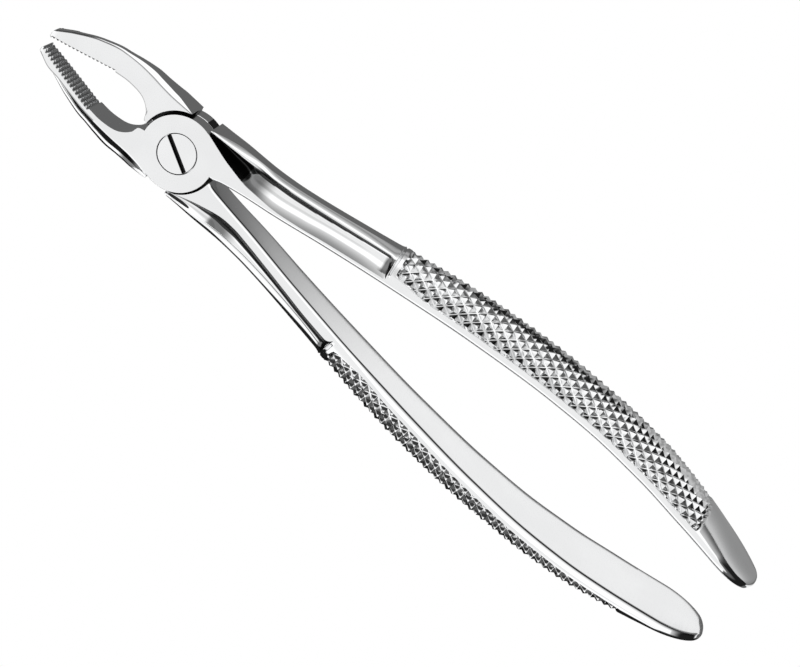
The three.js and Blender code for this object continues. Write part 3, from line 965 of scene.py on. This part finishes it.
class Nodes:
    """A short way to build a node tree."""

    def __init__(self, tree):
        self.tree = tree

    def add(self, kind, **settings):
        node = self.tree.nodes.new(kind)
        for key, value in settings.items():
            setattr(node, key, value)
        return node

    def link(self, source, target):
        self.tree.links.new(source, target)

    def math(self, operation, a, b=0.0):
        node = self.add("ShaderNodeMath", operation=operation)
        for socket, value in zip(node.inputs, (a, b)):
            if isinstance(value, (int, float)):
                socket.default_value = value
            else:
                self.link(value, socket)
        return node.outputs[0]

    def product(self, *values):
        return reduce(lambda a, b: self.math("MULTIPLY", a, b), values)

    def total(self, *values):
        return reduce(lambda a, b: self.math("ADD", a, b), values)

    def ramp(self, value, low, high, to_low=0.0, to_high=1.0, smooth_step=True):
        """Turns value from the range low to high into the range to_low to to_high."""
        node = self.add("ShaderNodeMapRange", interpolation_type="SMOOTHSTEP" if smooth_step else "LINEAR")
        for socket, number in zip(node.inputs[1:5], (low, high, to_low, to_high)):
            socket.default_value = number
        self.link(value, node.inputs[0])
        return node.outputs[0]

    def curve(self, value, points):
        """A curve through (value, result) points given in rising or falling order."""
        points = sorted(points)
        low, high = points[0][0], points[-1][0]
        results = [result for _, result in points]
        bottom, top = min(results), max(results)
        node = self.add("ShaderNodeFloatCurve")
        line_points = node.mapping.curves[0].points
        places = [((at - low) / (high - low), (result - bottom) / (top - bottom)) for at, result in points]
        line_points[0].location, line_points[1].location = places[0], places[-1]
        for place in places[1:-1]:
            line_points.new(*place)
        node.mapping.update()
        self.link(self.ramp(value, low, high, smooth_step=False), node.inputs["Value"])
        return self.total(self.product(node.outputs[0], top - bottom), bottom)

    def noise(self, vector, scale, detail=3.0, roughness=0.55):
        node = self.add("ShaderNodeTexNoise")
        node.inputs["Scale"].default_value = scale
        node.inputs["Detail"].default_value = detail
        node.inputs["Roughness"].default_value = roughness
        self.link(vector, node.inputs["Vector"])
        return node.outputs["Fac"]

    def mapped(self, vector, scale=(1, 1, 1), rotation=(0, 0, 0)):
        node = self.add("ShaderNodeMapping")
        node.inputs["Scale"].default_value = scale
        node.inputs["Rotation"].default_value = rotation
        self.link(vector, node.inputs["Vector"])
        return node.outputs[0]


def empty_material(name):
    """A new material without nodes, and what builds them."""
    material = bpy.data.materials.new(name)
    material.use_nodes = True
    material.node_tree.nodes.clear()
    return material, Nodes(material.node_tree)


# Scales are per metre. Four numbers are a ramp: from, to, result at from, result at to.
CLOUD_SCALE, FINE_SCALE, TURNING_SCALE = 90.0, 900.0, 26000.0
HAIRLINE_STRETCH, HAIRLINE_TILT = (120, 2600, 2600), (0, 0, 0.12)
HATCH_STRETCH = (2600, 60, 60)
# The painted shade darkens the steel's colour from full to near black, by how much a point is marked
PAINTED_SHADE_RAMP = (0.0, 0.3, 1.0, 0.035)
CLOUD_SHADE = 0.965
EDGE_ROUGHNESS, HATCH_ROUGHNESS, DULLNESS_ROUGHNESS, FINE_ROUGHNESS = 0.04, 0.16, 0.25, 0.02
BUMP_STRENGTH, BUMP_DISTANCE = 0.06, 0.00001


def steel(name, tint, roughness, turned_marks):
    """Polished stainless steel: slight clouding, fine polishing marks, duller edges, and painted shade with
    duller steel where the points are marked.
    """
    material, n = empty_material(name)
    place = n.add("ShaderNodeTexCoord").outputs["Object"]
    shader = n.add("ShaderNodeBsdfPrincipled")
    shader.inputs["Metallic"].default_value = 1.0
    cloud = n.noise(place, CLOUD_SCALE, 4.0)
    fine = n.noise(place, FINE_SCALE, 2.0)
    if turned_marks:
        radius = n.add("ShaderNodeVectorMath", operation="LENGTH")
        n.link(n.mapped(place, (1, 1, 0)), radius.inputs[0])
        hairline = n.math("SINE", n.product(radius.outputs["Value"], TURNING_SCALE))
    else:
        hairline = n.noise(n.mapped(place, HAIRLINE_STRETCH, HAIRLINE_TILT), 1.0, 3.0, 0.7)
    # Painted shade marked on the points: it darkens the colour and makes the steel duller
    painted_shade_and_dullness = n.add("ShaderNodeAttribute", attribute_name="painted_shade_and_dullness").outputs["Fac"]
    facing = n.add("ShaderNodeSeparateXYZ")
    n.link(n.add("ShaderNodeTexCoord").outputs["Normal"], facing.inputs[0])
    side = n.ramp(n.math("ABSOLUTE", facing.outputs["Y"]), 0.75, 0.97)
    hatch = n.product(side, n.noise(n.mapped(place, HATCH_STRETCH), 1.0, 4.0, 0.65))
    colour = n.add("ShaderNodeMix", data_type="RGBA")
    colour.inputs["A"].default_value = (*[c * CLOUD_SHADE for c in tint], 1)
    colour.inputs["B"].default_value = (*tint, 1)
    n.link(n.ramp(cloud, 0.35, 0.65), colour.inputs["Factor"])
    shaded = n.add("ShaderNodeVectorMath", operation="SCALE")
    n.link(colour.outputs["Result"], shaded.inputs[0])
    n.link(n.ramp(painted_shade_and_dullness, *PAINTED_SHADE_RAMP, smooth_step=False), shaded.inputs["Scale"])
    n.link(shaded.outputs[0], shader.inputs["Base Color"])
    edge = n.ramp(n.add("ShaderNodeNewGeometry").outputs["Pointiness"], 0.52, 0.6)
    rough = n.ramp(cloud, 0.3, 0.7, *roughness)
    for amount, strength in (
        (edge, EDGE_ROUGHNESS), (n.ramp(fine, 0.4, 0.75), FINE_ROUGHNESS), (hatch, HATCH_ROUGHNESS),
        (painted_shade_and_dullness, DULLNESS_ROUGHNESS),
    ):
        rough = n.total(rough, n.product(amount, strength))
    n.link(rough, shader.inputs["Roughness"])
    bump = n.add("ShaderNodeBump")
    bump.inputs["Strength"].default_value = BUMP_STRENGTH
    bump.inputs["Distance"].default_value = BUMP_DISTANCE
    n.link(hairline, bump.inputs["Height"])
    n.link(bump.outputs[0], shader.inputs["Normal"])
    n.link(shader.outputs[0], n.add("ShaderNodeOutputMaterial").inputs[0])
    return material


polished = steel("PolishedSteel", (0.855, 0.86, 0.865), (0.035, 0.075), turned_marks=False)
ground = steel("ScrewSteel", (0.875, 0.88, 0.885), (0.05, 0.09), turned_marks=True)
for piece, material in ((rear, polished), (front, polished), (screw, ground)):
    piece.data.materials.clear()
    piece.data.materials.append(material)

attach(rear, "rear")
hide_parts("rear_lever")
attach(front, "front")
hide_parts("front_lever")
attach(screw, "rear")
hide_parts("pivot_screw")


# -------- stage

FLOOR_LEVEL = cad_box[0].z - 0.0004
STAGE_RADIUS = 2.5
CARD_LOW, CARD_HIGH, CARD_DROP = (-0.18, -0.045), (0.06, 0.045), 0.0002

# The card's light, as ramps over X or Y in metres
CARD_BRIGHT_X = (-0.004, -0.066, 0.0, 0.85)
CARD_NEAR_EDGE_Y = (-0.006, -0.001, 0.0, 1.0)
CARD_FAR_EDGE = (-0.0001, 0.00025, 1.0, 0.0)
CARD_BASE_Y = (0.013, 0.016, 0.14, 0.012)
CARD_END_X, CARD_END_Y = (-0.104, -0.122), (-0.006, -0.012)
CARD_END_LIGHT_Y = (-0.014, -0.036, 0.16, 0.5)
CARD_OUTER_Y = (-0.024, -0.032, 0.0, 0.3)
CARD_STATIONS = (0, 30, 51, 68, 86, 97, 109, 121, 128, 133, 137, 140.9)
CARD_LINE, CARD_CLEARANCE = 0.6, 0.2

# The tent's light by direction, as ramps over X, Y or Z: a bright top with a darker middle, two walls that
# raise its lower edge at the sides, and a dim room below it on the near side
TENT_HANDLE_WALL_X, TENT_BEAK_WALL_X = (-0.34, -0.56, 0.0, 0.50), (0.45, 0.75, 0.0, 0.12)
TENT_EDGE_Z = (0.10, 0.27)
TENT_LIGHT = 1.25
TENT_GLOW_Z = (0.2, 0.5, 0.0, 0.12)
TENT_TOP_Z = (0.62, 0.80, 0.0, -0.27)
TENT_LEAST = 0.015
TENT_OPENING, TENT_OPENING_TOWARDS = (0.93, 0.985, 1.0, 0.8), (0.02, -0.38, 0.925)
ROOM_Z, ROOM_Y, ROOM_X = (-0.42, 0.16, 0.2, 0.75), (-0.55, -0.88), (0.36, 0.66, 1.0, 0.0)

# The photograph's view
VIEW_AZIMUTH, VIEW_ELEVATION, VIEW_ROLL = math.radians(2.82), math.radians(67.78), math.radians(-142.57)
VIEW_DISTANCE = 0.3966
VIEW_AIM = Vector((-0.0560, -0.00135, 0.0076))
VIEW_LENS = 91.15


def paper(name):
    """White paper that glows evenly, with the nodes that can change its glow."""
    material, n = empty_material(name)
    glow = n.add("ShaderNodeEmission")
    n.link(glow.outputs[0], n.add("ShaderNodeOutputMaterial").inputs[0])
    return material, n, glow.inputs["Strength"]


def hide(piece, *rays):
    """Hides the piece from these kinds of rays."""
    for ray in rays:
        setattr(piece, "visible_" + ray, False)


def plane(name, low, high, level):
    """A flat rectangle at one height, from corner low to corner high."""
    corners = [(low[0], low[1]), (high[0], low[1]), (high[0], high[1]), (low[0], high[1])]
    return new_object(name, [(x, y, level) for x, y in corners], [(0, 1, 2, 3)])


floor = plane("studio_floor", (-STAGE_RADIUS, -STAGE_RADIUS), (STAGE_RADIUS, STAGE_RADIUS), FLOOR_LEVEL)
floor.data.materials.append(paper("FloorPaper")[0])
hide(floor, "glossy")

sphere = [(0, -STAGE_RADIUS), *arc((0, 0), STAGE_RADIUS, -89, 89, 24), (0, STAGE_RADIUS)]
backdrop = lathe("studio_backdrop", sphere, 48)
backdrop.data.materials.append(paper("BackdropPaper")[0])
hide(backdrop, "glossy", "diffuse", "shadow")


def card_limit(d):
    """How far out the card is bright under the handle, so that its inner face keeps a thin dark edge."""
    face_bottom = MIDDLE - grip_width_at(d) + back_rounding_at(d)
    drop = face_bottom + CARD_LINE + CARD_CLEARANCE - FLOOR_LEVEL / MM
    return inner_at(d) - drop / math.tan(VIEW_ELEVATION)


card = plane("studio_card", CARD_LOW, CARD_HIGH, FLOOR_LEVEL - CARD_DROP)
card_material, n, card_strength = paper("CardPaper")
spot = n.add("ShaderNodeSeparateXYZ")
n.link(n.add("ShaderNodeTexCoord").outputs["Object"], spot.inputs[0])
card_x, card_y = spot.outputs["X"], spot.outputs["Y"]
limit = n.curve(card_x, [(-d * MM, card_limit(d) * MM) for d in CARD_STATIONS])
far_edge = n.ramp(n.math("SUBTRACT", card_y, limit), *CARD_FAR_EDGE)
bright = n.product(n.ramp(card_y, *CARD_NEAR_EDGE_Y), far_edge, n.ramp(card_x, *CARD_BRIGHT_X))
end_light = n.product(
    n.ramp(card_x, *CARD_END_X), n.ramp(card_y, *CARD_END_LIGHT_Y), n.ramp(card_y, *CARD_END_Y))
outside = n.math("MAXIMUM", end_light, n.ramp(card_y, *CARD_OUTER_Y))
n.link(n.total(bright, n.ramp(card_y, *CARD_BASE_Y), outside), card_strength)
card.data.materials.append(card_material)
hide(card, "camera", "diffuse", "shadow")

world = bpy.data.worlds.new("SoftTent")
scene.world = world
world.use_nodes = True
world.node_tree.nodes.clear()
n = Nodes(world.node_tree)
direction = n.add("ShaderNodeTexCoord").outputs["Generated"]
spot = n.add("ShaderNodeSeparateXYZ")
n.link(direction, spot.inputs[0])
side, depth, up = (spot.outputs[axis] for axis in "XYZ")
walls = n.total(n.ramp(side, *TENT_HANDLE_WALL_X), n.ramp(side, *TENT_BEAK_WALL_X))
above_walls = n.math("SUBTRACT", up, walls)
tent = n.math("MAXIMUM", n.ramp(above_walls, *TENT_EDGE_Z, 0.0, TENT_LIGHT), n.ramp(up, *TENT_GLOW_Z))
room = n.product(
    n.ramp(up, *ROOM_Z), n.ramp(above_walls, *TENT_EDGE_Z, 1.0, 0.0), n.ramp(depth, *ROOM_Y),
    n.ramp(n.math("ABSOLUTE", side), *ROOM_X))
light = n.total(tent, n.ramp(up, *TENT_TOP_Z), room, TENT_LEAST)
towards = n.add("ShaderNodeVectorMath", operation="DOT_PRODUCT")
towards.inputs[1].default_value = TENT_OPENING_TOWARDS
n.link(direction, towards.inputs[0])
light = n.product(light, n.ramp(towards.outputs["Value"], *TENT_OPENING))
background = n.add("ShaderNodeBackground")
background.inputs["Color"].default_value = (1, 1, 1, 1)
n.link(light, background.inputs["Strength"])
n.link(background.outputs[0], n.add("ShaderNodeOutputWorld").inputs[0])


# -------- camera

back = Vector((
    math.sin(VIEW_AZIMUTH) * math.cos(VIEW_ELEVATION),
    -math.cos(VIEW_AZIMUTH) * math.cos(VIEW_ELEVATION),
    math.sin(VIEW_ELEVATION),
))
camera_data = bpy.data.cameras.new("Camera")
camera_data.lens = VIEW_LENS
camera_data.sensor_width = 36
camera_data.clip_start = 0.01
camera_data.clip_end = 20
camera = bpy.data.objects.new("Camera", camera_data)
scene.collection.objects.link(camera)
camera.rotation_mode = "QUATERNION"
camera.location = VIEW_AIM + back * VIEW_DISTANCE
level_view = (-back).to_track_quat("-Z", "Y").to_matrix()
camera.rotation_quaternion = (level_view @ Matrix.Rotation(VIEW_ROLL, 3, "Z")).to_quaternion()
scene.camera = camera
scene.view_settings.view_transform = "Standard"
